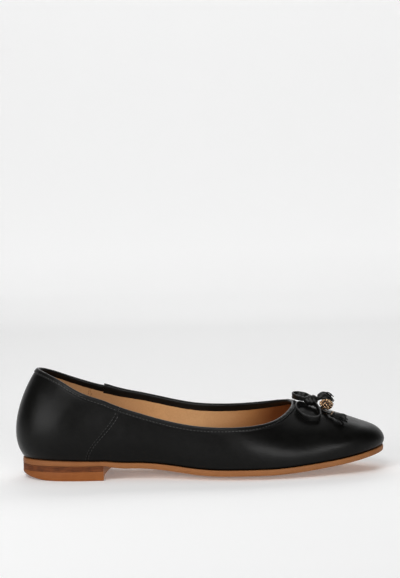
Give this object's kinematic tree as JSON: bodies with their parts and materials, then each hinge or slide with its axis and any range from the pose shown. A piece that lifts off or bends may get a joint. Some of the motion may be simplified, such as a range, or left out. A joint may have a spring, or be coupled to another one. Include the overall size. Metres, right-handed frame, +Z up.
{
  "type": "ballet flat",
  "caption": "Low black leather ballet flat with a bound collar, a small bow with tassels over the throat, a tan leather sole and a low stacked heel.",
  "frame": {"origin": "middle of the object's box in plan, on the plane that the heel and the forefoot stand on", "axes": "+X to the toe, +Y to the inner side of the foot, +Z up"},
  "size_m": [0.2486, 0.0778, 0.0732],
  "materials": {
    "sole_leather": "smooth tan sole leather with a dyed edge",
    "heel_leather": "dark brown stacked leather, matt",
    "insole_leather": "tan lining leather, matt",
    "black_leather": "smooth black leather, satin",
    "gilt_metal": "gilt, satin"
  },
  "bodies": {
    "root": {"outsole": "sole_leather", "heel_top_piece": "sole_leather", "heel_lift": "heel_leather", "insole": "insole_leather", "upper": "black_leather", "collar_binding_back": "black_leather", "collar_binding_front": "black_leather", "bow_knot": "black_leather", "bow_loop_near": "black_leather", "bow_loop_far": "black_leather", "bow_tail_near": "black_leather", "bow_tail_far": "black_leather", "tassel_near": "black_leather", "tassel_far": "black_leather", "tassel_cap_near": "gilt_metal", "tassel_cap_far": "gilt_metal"}
  },
  "joints": []
}
